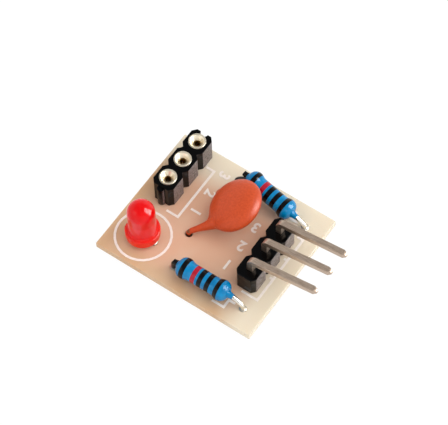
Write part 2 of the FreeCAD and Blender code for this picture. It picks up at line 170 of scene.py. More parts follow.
def plain(name, hex_colour, roughness, metallic=0.0, **sockets):
    """Material with one colour, and any other shader socket set by name."""
    material = bpy.data.materials.new(name)
    material.use_nodes = True
    body = shader(material)
    body.inputs["Base Color"].default_value = linear(hex_colour)
    body.inputs["Roughness"].default_value = roughness
    body.inputs["Metallic"].default_value = metallic
    for socket, value in sockets.items():
        body.inputs[socket.replace("_", " ")].default_value = value
    return material


def uneven(material, grain, dark, pale, stretch=(1, 1, 1), bump=0.0):
    """Mottles a material between two colours, with an optional relief of the same pattern.

    The grain is the size of a patch in millimetres, and a stretch over 1 makes it finer."""
    place = add_node(material, "ShaderNodeTexCoord")
    drawn = add_node(material, "ShaderNodeMapping", {"Vector": place.outputs["Object"], "Scale": stretch})
    patches = add_node(material, "ShaderNodeTexNoise", {
        "Vector": drawn.outputs["Vector"], "Scale": 1 / (grain * MM), "Detail": 3.0})
    spread = add_node(material, "ShaderNodeMapRange", {
        "Value": patches.outputs["Fac"], "From Min": 0.2, "From Max": 0.8})
    tint = add_node(material, "ShaderNodeMix", {
        0: spread.outputs["Result"], 6: linear(dark), 7: linear(pale)}, data_type="RGBA")
    feed(material, "Base Color", tint.outputs[2])
    if bump:
        relief = add_node(material, "ShaderNodeBump", {
            "Height": patches.outputs["Fac"], "Strength": bump, "Distance": 0.08 * MM})
        feed(material, "Normal", relief.outputs["Normal"])
    return material


print("orange in linear:", [round(c, 3) for c in linear("#C04A22")[:3]])

# %% [markdown]
# Moulded PBT plastic, as pin strips are made of, is a deep neutral black with a wet shine.
# Its grey look in a photograph comes from white surroundings mirrored at flat angles, so
# the colour stays black and a low roughness does the work. A faint bump of about 0.9 mm gives
# the wavy skin of a small moulding. The sides that face +X, towards the window lamp, are
# painted a lighter grey in spots of about 0.25 mm: this is painted reflection of the light on
# that side, kept there by a mask on the surface's own direction.

# %% Black plastic
black_plastic = plain("glossy black PBT", "#030303", 0.12, IOR=1.57, Specular_IOR_Level=0.11)
skin_place = add_node(black_plastic, "ShaderNodeTexCoord")
skin = add_node(black_plastic, "ShaderNodeTexNoise", {
    "Vector": skin_place.outputs["Object"], "Scale": 1 / (0.9 * MM), "Detail": 2.0})
waves = add_node(black_plastic, "ShaderNodeBump", {
    "Height": skin.outputs["Fac"], "Strength": 0.6, "Distance": 0.08 * MM})
# Painted reflection: faces towards +X are painted a lighter grey in spots, for the light that side mirrors.
facing = add_node(black_plastic, "ShaderNodeSeparateXYZ", {"Vector": skin_place.outputs["Normal"]})
lit_side_mask = add_node(black_plastic, "ShaderNodeMapRange", {
    "Value": facing.outputs["X"], "From Min": 0.75, "From Max": 0.95}, interpolation_type="SMOOTHSTEP")
reflection_spots = add_node(black_plastic, "ShaderNodeTexNoise", {
    "Vector": skin_place.outputs["Object"], "Scale": 1 / (0.25 * MM), "Detail": 3.0})
painted_reflection = add_node(black_plastic, "ShaderNodeMath", {
    0: lit_side_mask.outputs["Result"], 1: reflection_spots.outputs["Fac"]}, operation="MULTIPLY")
black_with_lit_side_paint = add_node(black_plastic, "ShaderNodeMix", {
    0: painted_reflection.outputs["Value"], 6: linear("#020203"), 7: linear("#988A88")}, data_type="RGBA")
feed(black_plastic, "Base Color", black_with_lit_side_paint.outputs[2])
feed(black_plastic, "Normal", waves.outputs["Normal"])
print(black_plastic.name)

# %% [markdown]
# Every metal here is tin, gold, solder or copper, and each was made in its own way:
# - The pins are drawn through a die and tinned, so they are warm grey with long fine streaks.
#   The real streaks are a few hundredths of a millimetre wide and are drawn about 0.1 mm wide.
# - Wire is drawn too. Fresh tin is bright, and the capacitor's leads are a browner tin. The
#   resistors' inner leads are painted dark: painted reflection of the dark things they mirror.
#   Both come in cloudy patches of about half a millimetre.
# - The sleeves are cut on a lathe. Fine rings go round them, drawn coarser than real, so the
#   shine breaks up along their height.
# - The springs are gold-plated, the solder froze in grains, and the copper was brushed before
#   etching, which leaves lines along the board.

# %% Metals
pin_tin = uneven(plain("drawn tinned brass", "#BEA896", 0.42, 1.0),
                 2.0, "#A68E7C", "#D8C6B4", (0.3, 22.0, 14.0))
wire_tin = uneven(plain("bright tinned wire", "#E4E1DA", 0.16, 1.0), 0.5, "#D8D4CC", "#F0EEE8")
leg_tin = uneven(plain("dull tinned iron leg", "#8C8680", 0.5, 1.0), 0.4, "#7C7670", "#9C9690")
wire_painted_dark = uneven(plain("wire painted dark for shade", "#4A4644", 0.35, 1.0), 0.6, "#3A3634", "#5A5654")
brown_wire = uneven(plain("brown tinned wire", "#8A6A4C", 0.35, 1.0), 0.6, "#785A3E", "#9C7A5A")
sleeve_tin = uneven(plain("turned and tinned sleeve", "#F4E8D0", 0.3, 0.9),
                    1.0, "#EADEC6", "#FEF2DA", (1, 1, 10))
clip_gold = uneven(plain("gold-plated spring", "#B08A4A", 0.3, 1.0), 0.4, "#A07C3E", "#C09856")
solder_tin = uneven(plain("solder", "#CFC8BC", 0.4, 1.0), 0.3, "#C0B8AC", "#DED8CC", bump=0.25)
copper_foil = uneven(plain("brushed copper foil", "#C98258", 0.32, 1.0),
                     1.5, "#C27C54", "#D08860", (0.3, 20.0, 1.0))
print("metals:", [m.name for m in bpy.data.materials if shader(m).inputs["Metallic"].default_value > 0.5])

# %% [markdown]
# The board is plain resin-bonded laminate without a colour mask. It lets light through, so
# the copper on its underside shows from above as a pinkish tan, while the bare border stays
# cream. The fill's outline is a soft-edged box in board coordinates, a little ragged. Near the
# light and the front resistor the tan is painted browner: painted shade and bounced light from
# those parts. The ink is squeezed through a fine mesh, so its thickness varies: that is drawn
# in patches of 0.3 mm, coarser than real.

# %% Board material
laminate = plain("bare paper laminate", "#EADDC6", 0.45, Specular_IOR_Level=0.25,
                 Subsurface_Weight=0.25, Subsurface_Scale=0.8 * MM)
shader(laminate).inputs["Subsurface Radius"].default_value = (1.0, 0.85, 0.7)
board_place = add_node(laminate, "ShaderNodeTexCoord")
board_axes = add_node(laminate, "ShaderNodeSeparateXYZ", {"Vector": board_place.outputs["Object"]})
edges = []
for axis, start, end in (("X", 8.0, 4.6), ("Y", 6.2, 2.8), ("X", -8.8, -6.0), ("Y", -7.4, -5.2)):
    edges.append(add_node(laminate, "ShaderNodeMapRange", {
        "Value": board_axes.outputs[axis], "From Min": start * MM, "From Max": end * MM},
        interpolation_type="SMOOTHSTEP"))
fill_mask = add_node(laminate, "ShaderNodeMath", {
    0: edges[0].outputs["Result"], 1: edges[1].outputs["Result"]}, operation="MULTIPLY")
away_from_painted_shade = add_node(laminate, "ShaderNodeMath", {
    0: edges[2].outputs["Result"], 1: edges[3].outputs["Result"]}, operation="MULTIPLY")
blotches = add_node(laminate, "ShaderNodeTexNoise", {
    "Vector": board_place.outputs["Object"], "Scale": 1 / (4.0 * MM), "Detail": 2.0})
ragged = add_node(laminate, "ShaderNodeMapRange", {
    "Value": blotches.outputs["Fac"], "From Min": 0.25, "From Max": 0.6, "To Min": 0.75, "To Max": 1.0},
    interpolation_type="SMOOTHSTEP")
seen_copper = add_node(laminate, "ShaderNodeMath", {
    0: fill_mask.outputs["Value"], 1: ragged.outputs["Result"]}, operation="MULTIPLY")
# Painted shade and bounced light: the tan is browner towards the left and front edges, by the light and the
# front resistor.
tan = add_node(laminate, "ShaderNodeMix", {
    0: away_from_painted_shade.outputs["Value"], 6: linear("#D2AC86"), 7: linear("#DFB294")}, data_type="RGBA")
board_colour = add_node(laminate, "ShaderNodeMix", {
    0: seen_copper.outputs["Value"], 6: linear("#E8DAC2"), 7: tan.outputs[2]}, data_type="RGBA")
feed(laminate, "Base Color", board_colour.outputs[2])

white_ink = uneven(plain("white screen ink", "#F6EAE0", 0.5), 0.3, "#EEE2D8", "#FEF2E8")
print(laminate.name, len(laminate.node_tree.nodes), "nodes")

# %% [markdown]
# The three glossy bodies: a light of tinted epoxy, a capacitor dipped in ceramic-filled
# epoxy, and resistors under a blue lacquer.
# - The light is cast in a polished mould. Red light scatters far inside it and all other light
#   is swallowed, so it gets red subsurface scattering and a little transmission. The epoxy is
#   one red, but its barrel is painted pinker than its dome and its flange a little orange:
#   painted glow, for light coming through the thick barrel and the thin flange.
# - The dipped coating has a fine orange-peel skin, drawn at 0.22 mm, which is about twice
#   its real size, and a soft broad shine.
# - Lacquer is sprayed on while the resistor turns, and paint rings are rolled over it. Both
#   dry to waves of 0.6 to 0.8 mm, which the eye sees as a slightly broken highlight.

# %% Light, capacitor and resistor materials
red_epoxy = plain("red tinted epoxy", "#F40003", 0.1, IOR=1.54, Specular_IOR_Level=0.22,
                  Transmission_Weight=0.18, Subsurface_Weight=0.55, Subsurface_Scale=0.8 * MM)
shader(red_epoxy).inputs["Subsurface Radius"].default_value = (1.0, 0.05, 0.03)
lens_place = add_node(red_epoxy, "ShaderNodeTexCoord")
lens_axes = add_node(red_epoxy, "ShaderNodeSeparateXYZ", {"Vector": lens_place.outputs["Object"]})
# Painted glow: the barrel is painted pinker and the flange orange, for light coming through them; the dome
# keeps the epoxy's red.
over_flange = add_node(red_epoxy, "ShaderNodeMapRange", {
    "Value": lens_axes.outputs["Z"], "From Min": 1.2 * MM, "From Max": 1.9 * MM},
    interpolation_type="SMOOTHSTEP")
over_barrel = add_node(red_epoxy, "ShaderNodeMapRange", {
    "Value": lens_axes.outputs["Z"], "From Min": 3.2 * MM, "From Max": 3.7 * MM},
    interpolation_type="SMOOTHSTEP")
barrel = add_node(red_epoxy, "ShaderNodeMix", {
    0: over_flange.outputs["Result"], 6: linear("#FF2A0A"), 7: linear("#FF2830")}, data_type="RGBA")
dome = add_node(red_epoxy, "ShaderNodeMix", {
    0: over_barrel.outputs["Result"], 6: barrel.outputs[2], 7: linear("#F00006")}, data_type="RGBA")
feed(red_epoxy, "Base Color", dome.outputs[2])

dipped = uneven(plain("dipped terracotta epoxy", "#CA4A20", 0.38, IOR=1.5, Specular_IOR_Level=0.3),
                0.22, "#BE4218", "#D65224", bump=0.3)
lacquer = {
    "blue": uneven(plain("blue resistor lacquer", "#007CB2", 0.18, IOR=1.55, Specular_IOR_Level=0.22,
                         Coat_Weight=0.1, Coat_Roughness=0.06), 0.8, "#00669C", "#0092CC", bump=0.08),
    "black": uneven(plain("black band paint", "#040405", 0.2, IOR=1.55, Specular_IOR_Level=0.18),
                    0.6, "#030304", "#060607", bump=0.08),
    "red": uneven(plain("red band paint", "#AE0E28", 0.2, IOR=1.55, Specular_IOR_Level=0.3),
                  0.6, "#A20A22", "#BA122E", bump=0.08),
}
print("lacquers:", sorted(lacquer))

# %% [markdown]
# Round parts are modelled like a pot on a wheel: a disc is added, then its face is extruded
# up and scaled, once for each step of a profile. Extruding keeps the skin in one piece, so
# the result is closed. The profile is a list of heights and radii in millimetres.

# %% Turning helper
def only(piece):
    """Makes one object the only selected and active one."""
    bpy.ops.object.select_all(action="DESELECT")
    piece.select_set(True)
    bpy.context.view_layer.objects.active = piece


def turned(name, profile, sides=64):
    """Round body along Z through (height, radius) steps in millimetres."""
    bpy.ops.object.select_all(action="DESELECT")
    height, radius = profile[0]
    bpy.ops.mesh.primitive_circle_add(
        vertices=sides, radius=radius * MM, fill_type="NGON", location=(0, 0, height * MM))
    piece = bpy.context.object
    piece.name = name
    bpy.ops.object.transform_apply()
    bpy.ops.object.mode_set(mode="EDIT")
    bpy.ops.mesh.select_all(action="SELECT")
    for next_height, next_radius in profile[1:]:
        rise = (next_height - height) * MM
        bpy.ops.mesh.extrude_region_move(TRANSFORM_OT_translate={"value": (0, 0, rise)})
        k = next_radius / radius
        bpy.ops.transform.resize(value=(k, k, 1), center_override=(0, 0, next_height * MM))
        height, radius = next_height, next_radius
    bpy.ops.mesh.select_all(action="SELECT")
    bpy.ops.mesh.normals_make_consistent(inside=False)
    bpy.ops.object.mode_set(mode="OBJECT")
    return piece


print("turning takes a profile of (height, radius) steps in mm")

# %% [markdown]
# A turned piece stands on the origin. One helper lays it along any axis and applies that, so
# a finished piece sits at the origin, unturned and unscaled. The other smooths it: edges
# flatter than a given angle are shaded round, and sharper ones stay crisp. Then it rides on
# the frame's body and stands for the solids that it replaces.

# %% Placing and finishing
def put_in_place(piece, origin, up_axis, side_axis=(1, 0, 0)):
    """Lays a piece built round Z along up_axis, at an origin in millimetres, and applies it."""
    up_axis = Vector(up_axis).normalized()
    if abs(up_axis.dot(Vector(side_axis))) > 0.9:
        side_axis = (0, 0, 1)
    first = (Vector(side_axis) - up_axis * up_axis.dot(Vector(side_axis))).normalized()
    second = up_axis.cross(first)
    turn = Matrix((first, second, up_axis)).transposed().to_4x4()
    piece.matrix_world = Matrix.Translation(Vector(origin) * MM) @ turn
    only(piece)
    bpy.ops.object.transform_apply()


def finish(piece, material, replaced=(), smooth_degrees=40):
    """Smooths a finished piece, gives it its material and ties it to the frame."""
    only(piece)
    bpy.ops.object.shade_smooth_by_angle(angle=math.radians(smooth_degrees))
    if material:
        piece.data.materials.clear()
        piece.data.materials.append(material)
    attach(piece, "root")
    if replaced:
        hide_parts(*replaced)
    return piece


print("a piece gets a frame body, the solids it stands for and a material slot")

# %% [markdown]
# Pieces with flat faces already have the right shape in the CAD model. Real mouldings and
# sawn boards never have knife edges, so each of these nodes is copied, its loose triangles
# are merged, and a small bevel is applied: that thin line of light along an edge is what
# makes a part look solid. Large flat faces have to stay flat to the light, so their normals
# get more weight than those of the narrow bevels. The copy then stands for the node.

# %% Copies with soft edges
def soft_copy(node, material, edge_width):
    """Merged copy of a CAD node with its edges rounded by a width in millimetres."""
    only(nodes[node])
    bpy.ops.object.duplicate()
    piece = bpy.context.object
    piece.name = f"{node}_soft"
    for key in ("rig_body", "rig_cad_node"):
        if key in piece:
            del piece[key]
    piece.parent = None
    only(piece)
    bpy.ops.object.mode_set(mode="EDIT")
    bpy.ops.mesh.select_all(action="SELECT")
    bpy.ops.mesh.remove_doubles(threshold=0.002 * MM)
    bpy.ops.mesh.dissolve_limited(angle_limit=math.radians(1))
    bpy.ops.object.mode_set(mode="OBJECT")
    rounding = piece.modifiers.new("rounding", "BEVEL")
    rounding.width = edge_width * MM
    rounding.segments = 2
    rounding.limit_method = "ANGLE"
    rounding.angle_limit = math.radians(35)
    bpy.ops.object.modifier_apply(modifier=rounding.name)
    finish(piece, material, [node], 35)
    flat_faces = piece.modifiers.new("flat faces", "WEIGHTED_NORMAL")
    flat_faces.keep_sharp = True
    bpy.ops.object.modifier_apply(modifier=flat_faces.name)
    return piece


soft_copy("circuit_board", laminate, 0.05)
soft_copy("socket_housing", black_plastic, 0.07)
soft_copy("header_housing", black_plastic, 0.08)
for number in (1, 2, 3):
    soft_copy(f"header_pin_{number}", pin_tin, 0.04)

# %% [markdown]
# Nodes whose shape needs no change only get a better finish on their own material slots:
# the ink, the copper, the springs in the socket and the light's flat legs.

# %% Finishes on CAD nodes
def coat(node, material):
    """Gives a CAD node a new material."""
    nodes[node].data.materials.clear()
    nodes[node].data.materials.append(material)


coat("board_print", white_ink)
for net in ("supply", "signal", "light", "ground"):
    coat(f"copper_{net}", copper_foil)
for number in (1, 2, 3):
    coat(f"socket_clip_{number}", clip_gold)
for leg in ("cathode", "anode"):
    coat(f"led_{leg}_lead", leg_tin)
print("coated CAD nodes: ink, 4 copper islands, 3 springs, 2 legs")

# %% [markdown]
# A turned socket contact is one piece of metal cut on a lathe: a thin tail, a barrel, a
# flange that stops it in the plastic, and a funnel that guides a lead into the bore. The
# profile runs up the outside, over the rim and down the inside, so one run makes it hollow.
# It is made once and copied for the other two cells.

# %% Socket sleeves
sleeve_profile = [
    (lead_end, 0.2), (lead_end + 0.05, 0.25), (0, 0.25), (0, 0.62), (0.04, 0.66), (3.0, 0.66), (3.0, 0.88),
    (3.025, 0.915), (3.12, 0.915), (3.155, 0.9), (3.17, 0.87), (3.17, 0.77), (3.15, 0.73), (3.09, 0.69),
    (2.78, 0.37), (2.74, 0.35), (2.72, 0.36), (2.7, 0.45), (0.55, 0.45), (0.55, 0.02)]


def copies(piece, offsets):
    """The piece and its copies, each with its own mesh, moved by offsets in millimetres."""
    made = []
    for offset in offsets:
        only(piece)
        bpy.ops.object.duplicate()
        copy = bpy.context.object
        copy.location = Vector(offset) * MM
        bpy.ops.object.transform_apply()
        made.append(copy)
    bpy.data.objects.remove(piece)
    return made


sleeve = turned("sleeve", sleeve_profile, 48)
for number, piece in enumerate(copies(sleeve, [(*leads[f"socket_{n}"], 0) for n in (1, 2, 3)]), 1):
    piece.name = f"sleeve_{number}"
    finish(piece, sleeve_tin, [f"socket_sleeve_{number}"], 35)
    print(piece.name, len(piece.data.polygons), "faces")

# %% [markdown]
# The light's lens is cast in a mould: a flange with a flat on the cathode's side, a straight
# barrel and a half-round dome. The flat is cut by bisecting the turned body with a plane and
# filling the cut, as a moulded flat is plane too.

# %% Light lens
def arc_steps(centre, radius, start, end, count):
    """(height, radius) steps on an arc about a point; degrees count up from level."""
    steps = []
    for i in range(count + 1):
        angle = math.radians(start + (end - start) * i / count)
        steps.append((centre[0] + radius * math.sin(angle), centre[1] + radius * math.cos(angle)))
    return steps


light_x, light_y = (leads["led_cathode"][0] + leads["led_anode"][0]) / 2, leads["led_anode"][1]
light_foot = 0.5
light_radius, light_length, flange_radius, flange_height, flat_offset = 1.43, 5.4, 1.8, 1.0, 1.55
flange_top, dome_start = light_foot + flange_height, light_foot + light_length - light_radius
lens_profile = [
    (light_foot, flange_radius - 0.06), (light_foot + 0.05, flange_radius - 0.01),
    (light_foot + 0.1, flange_radius), (flange_top - 0.12, flange_radius),
    (flange_top - 0.04, flange_radius - 0.03), (flange_top, flange_radius - 0.1),
    (flange_top, light_radius + 0.09), (flange_top + 0.06, light_radius + 0.02),
    (flange_top + 0.15, light_radius)]
lens_profile += arc_steps((dome_start, 0), light_radius, 0, 89, 22)
lens = turned("lens", lens_profile, 72)
put_in_place(lens, (light_x, light_y, 0), (0, 0, 1))
bpy.ops.object.mode_set(mode="EDIT")
bpy.ops.mesh.select_all(action="SELECT")
bpy.ops.mesh.bisect(
    plane_co=((light_x - flat_offset) * MM, light_y * MM, 0), plane_no=(1, 0, 0),
    use_fill=True, clear_inner=True)
bpy.ops.object.mode_set(mode="OBJECT")
finish(lens, red_epoxy, ["led_lens"], 40)
print("lens faces:", len(lens.data.polygons))

# %% [markdown]
# The capacitor is a ceramic disc dipped in epoxy, so nothing on it has an edge. Its disc is
# turned from a rounded profile and leans over its two leads, so it gets directions of its
# own: up along the disc, sideways along it, and out of its face.

# %% Capacitor disc
def direction(azimuth_degrees, tilt_degrees):
    """Unit direction from an azimuth and an angle above the board."""
    a, t = math.radians(azimuth_degrees), math.radians(tilt_degrees)
    return Vector((math.cos(a) * math.cos(t), math.sin(a) * math.cos(t), math.sin(t)))


capacitor_x, capacitor_y = leads["capacitor_1"][0], (leads["capacitor_1"][1] + leads["capacitor_2"][1]) / 2
disc_azimuth, disc_tilt, disc_radius, disc_thickness, disc_roundness = 26.8, 30.0, 2.95, 2.3, 2.6
disc_height, disc_reach = 2.67, 3.26
disc_centre = Vector((capacitor_x, capacitor_y, disc_height)) + direction(disc_azimuth, 0) * disc_reach
disc_rise = direction(disc_azimuth, disc_tilt)
disc_normal = -direction(disc_azimuth, disc_tilt - 90)
disc_side = direction(disc_azimuth - 90, 0)
disc_profile = []
for i in range(33):
    angle = math.pi * (0.25 + i) / 32.5
    ring_radius = disc_radius * math.sin(angle) ** (2 / disc_roundness)
    disc_profile.append((-math.cos(angle) * disc_thickness / 2, ring_radius))
disc = turned("capacitor", disc_profile, 96)
put_in_place(disc, disc_centre, disc_normal, disc_side)
print("disc centre at mm:", [round(v, 2) for v in disc_centre])

# %% [markdown]
# The wet coating hung as a web between the front lead and the disc's rim. The web is a plate
# in the disc's plane, and its edges are arcs that touch both, so nothing kinks where they
# meet. One helper works out such an arc and the other makes the plate.

# %% Web of coating
def fillet(neck_side, line_point, line_direction, half_width, radius):
    """Arc that leads from a straight neck's edge onto the disc's rim, in the disc's plane.

    Points are (side, rise) pairs from the disc's centre. The arc's centre lies at the
    fillet's radius from both, and neck_side says on which side of the neck."""
    across = Vector((-line_direction.y, line_direction.x)) * neck_side
    offset = line_point + across * (half_width + radius)
    along = -offset.dot(line_direction)
    missing = (offset + line_direction * along).length
    back = math.sqrt((disc_radius + radius) ** 2 - missing ** 2)
    centre = offset + line_direction * (along - back)
    on_neck, on_disc = centre - across * radius, centre.normalized() * disc_radius
    start = (on_neck - centre).to_3d()
    turn = start.normalized().cross((on_disc - centre).normalized().to_3d())
    sweep = start.angle((on_disc - centre).to_3d()) * (1 if turn.z > 0 else -1)
    points = []
    for i in range(13):
        angle = sweep * i / 12
        c, s = math.cos(angle), math.sin(angle)
        points.append(centre + Vector((start.x * c - start.y * s, start.x * s + start.y * c)))
    return points


def web(name, outline, half_thickness):
    """Flat plate on an outline of (side, rise) points in the disc's plane."""
    bpy.ops.object.select_all(action="DESELECT")
    bpy.ops.mesh.primitive_circle_add(vertices=len(outline), radius=MM, fill_type="NGON")
    piece = bpy.context.object
    piece.name = name
    for vertex, point in zip(piece.data.vertices, outline):
        vertex.co = Vector((point.x, point.y, -half_thickness)) * MM
    bpy.ops.object.mode_set(mode="EDIT")
    bpy.ops.mesh.select_all(action="SELECT")
    bpy.ops.mesh.extrude_region_move(TRANSFORM_OT_translate={"value": (0, 0, 2 * half_thickness * MM)})
    bpy.ops.mesh.select_all(action="SELECT")
    bpy.ops.mesh.normals_make_consistent(inside=False)
    bpy.ops.object.mode_set(mode="OBJECT")
    turn = Matrix((disc_side, disc_rise, disc_normal)).transposed().to_4x4()
    piece.matrix_world = Matrix.Translation(disc_centre * MM) @ turn
    only(piece)
    bpy.ops.object.transform_apply()
    return piece


print("a web's arc has 13 points")

# %% [markdown]
# Each lead carries a neck of coating from the board up into the disc, and a drip where the
# coating ran down to the board. They are turned, joined with the disc and the web, and fused
# by a voxel remesh. Smoothing then lets them flow into one another as the wet coating did.

# %% Capacitor body
entry_side, entry_drop, knee_height = 1.6, 1.84, 0.42  # where a lead goes into the disc, and its bend
neck_parts = [disc]
capacitor_paths = []
for side, lead in ((1, "capacitor_1"), (-1, "capacitor_2")):
    foot = Vector((*leads[lead], lead_end))
    knee = Vector((foot.x, foot.y, knee_height))
    inside = disc_centre + disc_side * (side * entry_side) - disc_rise * entry_drop
    capacitor_paths.append([foot, knee, inside])
    run = inside - knee
    start = knee + run.normalized() * 0.1
    length = (inside - start).length
    neck = turned(f"neck_{side}", [
        (0, 0.27), (0.1, 0.3), (length * 0.3, 0.35), (length * 0.5, 0.42), (length * 0.65, 0.5),
        (length * 0.8, 0.58), (length, 0.66)], 32)
    put_in_place(neck, start, run)
    neck_parts.append(neck)
    drip = turned(f"drip_{side}", [(0.1, 0.26), (0.2, 0.3), (0.45, 0.3)], 32)
    put_in_place(drip, (foot.x, foot.y, 0), (0, 0, 1))
    neck_parts.append(drip)
_, near_knee, near_entry = capacitor_paths[0]
near_run = near_entry - near_knee
line = Vector((near_run.dot(disc_side), near_run.dot(disc_rise))).normalized()
entry, under_disc, neck_half_width = Vector((entry_side, -entry_drop)), Vector((0.8, -0.9)), 0.3
outer = fillet(1, entry, line, neck_half_width, 0.8)
inner = fillet(-1, entry, line, neck_half_width, 1.7)
neck_parts.append(web("web", outer + [under_disc] + inner[::-1], 0.34))
bpy.ops.object.select_all(action="DESELECT")
for piece in neck_parts:
    piece.select_set(True)
bpy.context.view_layer.objects.active = disc
bpy.ops.object.join()
melt = disc.modifiers.new("melt", "REMESH")
melt.mode = "VOXEL"
melt.voxel_size = 0.06 * MM
bpy.ops.object.modifier_apply(modifier=melt.name)
flow = disc.modifiers.new("flow", "SMOOTH")
flow.factor, flow.iterations = 0.5, 30
bpy.ops.object.modifier_apply(modifier=flow.name)
finish(disc, dipped, ["capacitor_body"], 180)
print("capacitor faces:", len(disc.data.polygons))
print("box in mm:", [[round(v / MM, 2) for v in corner] for corner in (disc.bound_box[0], disc.bound_box[6])])

# %% [markdown]
# Leads are drawn wire, bent round a tool. A Bezier path with a corner at each bend is
# rounded by two points and their handles, given a round section, and made a mesh.

# %% Bent wires
def bend_handles(before, corner, after, bend):
    """Start and end of the arc at a corner, and the length of their handles."""
    inward, outward = (before - corner).normalized(), (after - corner).normalized()
    half_turn = (math.pi - inward.angle(outward)) / 2
    trim = min(bend * math.tan(half_turn), 0.45 * min((before - corner).length, (after - corner).length))
    radius = trim / math.tan(half_turn)
    return corner + inward * trim, corner + outward * trim, 4 / 3 * math.tan(half_turn / 2) * radius


def wire(name, points, radius, bend):
    """Round wire along points in millimetres, with rounded corners."""
    knots = [(points[0], points[0], points[0])]
    for before, corner, after in zip(points, points[1:], points[2:]):
        start, end, reach = bend_handles(before, corner, after, bend)
        to_corner, from_corner = (corner - start).normalized(), (end - corner).normalized()
        knots.append((start, start - to_corner * reach, start + to_corner * reach))
        knots.append((end, end - from_corner * reach, end + from_corner * reach))
    knots.append((points[-1], points[-1], points[-1]))
    bpy.ops.object.select_all(action="DESELECT")
    bpy.ops.curve.primitive_bezier_curve_add()
    piece = bpy.context.object
    piece.name = name
    spline = piece.data.splines[0]
    spline.bezier_points.add(len(knots) - 2)
    for knot, (centre, handle_before, handle_after) in zip(spline.bezier_points, knots):
        knot.handle_left_type = knot.handle_right_type = "FREE"
        knot.co, knot.handle_left, knot.handle_right = centre * MM, handle_before * MM, handle_after * MM
    piece.data.bevel_depth = radius * MM
    piece.data.bevel_resolution = 6
    piece.data.resolution_u = 12
    piece.data.use_fill_caps = True
    bpy.ops.object.convert(target="MESH")
    return bpy.context.object


wire_radius = 0.25
for number, path in enumerate(capacitor_paths, 1):
    finish(wire(f"capacitor_wire_{number}", path, wire_radius, 0.35), brown_wire,
           [f"capacitor_lead_{number}"], 50)
print("capacitor wires:", len(capacitor_paths))

# %% [markdown]
# A metal-film resistor is a ceramic rod with a cap pressed on each end, dipped in lacquer.
# The caps make a bulb at each end, and the lacquer runs out thinly along the leads. The
# painted bands are faces of the same skin, so the profile has a step at each band's edges.
# The first band in the list is no paint: it is painted shade, the lacquer's end by the first lead made black
# for the shadow on it.

# %% Resistor profile
body_length, bulb_radius, waist_radius, bulb_length, end_radius, taper = 5.9, 1.12, 0.94, 1.6, 0.42, 0.6
half_length = body_length / 2
crest, shoulder = half_length - bulb_length / 2, half_length - bulb_length
band_width = 0.5
# The first entry is painted shade at the lacquer's end by the first lead; the rest are paint.
bands = [
    (-0.06, "black"), (0.15, "black"), (0.365, "red"), (0.495, "black"), (0.645, "black"), (0.825, "black")]


def resistor_radius(along):
    """Radius of the lacquer at a distance from the middle."""
    d = abs(along)
    if d <= shoulder:
        return waist_radius
    if d <= crest:
        climb = (1 - math.cos(math.pi * (d - shoulder) / (crest - shoulder))) / 2
        return waist_radius + (bulb_radius - waist_radius) * climb
    if d <= half_length:
        cap = math.sqrt(1 - ((d - crest) / (half_length - crest)) ** 2)
        return end_radius + (bulb_radius - end_radius) * cap
    thin = wire_radius + 0.03
    return thin + (end_radius - thin) * (1 - min((d - half_length) / taper, 1)) ** 1.8


def band_edges():
    """Start, end and colour of each painted band along the body."""
    middles = [(fraction * body_length - half_length, colour) for fraction, colour in bands]
    return [(middle - band_width / 2, middle + band_width / 2, colour) for middle, colour in middles]


steps = set()
for i in range(61):
    steps.add(round(-crest + 2 * crest * i / 60, 4))
for i in range(1, 13):
    along = crest + (half_length - crest) * math.sin(math.radians(90 * i / 12))
    steps.update((round(along, 4), round(-along, 4)))
for i in range(1, 7):
    along = half_length + taper * i / 6
    steps.update((round(along, 4), round(-along, 4)))
for low, high, _ in band_edges():
    steps = {s for s in steps if min(abs(s - low), abs(s - high)) > 0.03}
    steps.update((round(low, 4), round(high, 4)))
resistor_profile = [(s, resistor_radius(s)) for s in sorted(steps)]
print("profile steps:", len(resistor_profile))

# %% [markdown]
# Both resistors come off one reel, so the body is turned and painted once and then copied.
# The front one lies level over its holes. The rear one was pushed in by hand and sits a
# little turned and tilted, so each gets its own small offset, and its leads follow.

# %% Resistors
resistor = turned("resistor", resistor_profile, 56)
resistor.data.materials.clear()
paints = ["blue", "black", "red"]
for colour in paints:
    resistor.data.materials.append(lacquer[colour])
for face in resistor.data.polygons:
    for low, high, colour in band_edges():
        if low < face.center.z / MM < high:
            face.material_index = paints.index(colour)

resistors = {
    "front": {"offset": (-0.5, -0.05, 1.3), "yaw": 0.0, "pitch": 0.0, "knee": 0.6},
    "rear": {"offset": (-0.3, 0.35, 1.6), "yaw": -8.0, "pitch": 6.0, "knee": 0.3},
}
bodies = copies(resistor, [(0, 0, 0)] * len(resistors))
for body, (name, sizes) in zip(bodies, resistors.items()):
    holes = [Vector((*leads[f"resistor_{name}_{number}"], 0)) for number in (1, 2)]
    centre = (holes[0] + holes[1]) / 2 + Vector(sizes["offset"])
    axis = direction(sizes["yaw"], -sizes["pitch"])
    put_in_place(body, centre, axis)
    body.name = f"resistor_{name}"
    finish(body, None, [f"resistor_{name}_body"], 50)
    for number, hole, sign in ((1, holes[0], -1), (2, holes[1], 1)):
        leaving = centre + axis * (sign * (half_length + taper))
        inside = centre + axis * (sign * crest)
        foot = Vector((hole.x, hole.y, lead_end))
        knee = Vector((hole.x, hole.y, leaving.z if number == 1 else sizes["knee"]))
        path = [foot, knee, inside] if number == 1 else [foot, knee, leaving, inside]
        # Inner leads get the wire painted dark: painted reflection of dark surroundings.
        bend, metal = (0.7, wire_painted_dark) if number == 1 else (1.05, wire_tin)
        finish(wire(f"resistor_{name}_wire_{number}", path, wire_radius, bend), metal,
               [f"resistor_{name}_lead_{number}"], 50)
print("resistors:", sorted(resistors))

# %% [markdown]
# A good solder joint is a small volcano: the melted tin wets the pad and climbs the lead, so
# its flank is hollow. It also creeps up the drilled hole, except at the capacitor, where the
# hole stays dark. One joint is turned for each kind of lead and copied to the others.

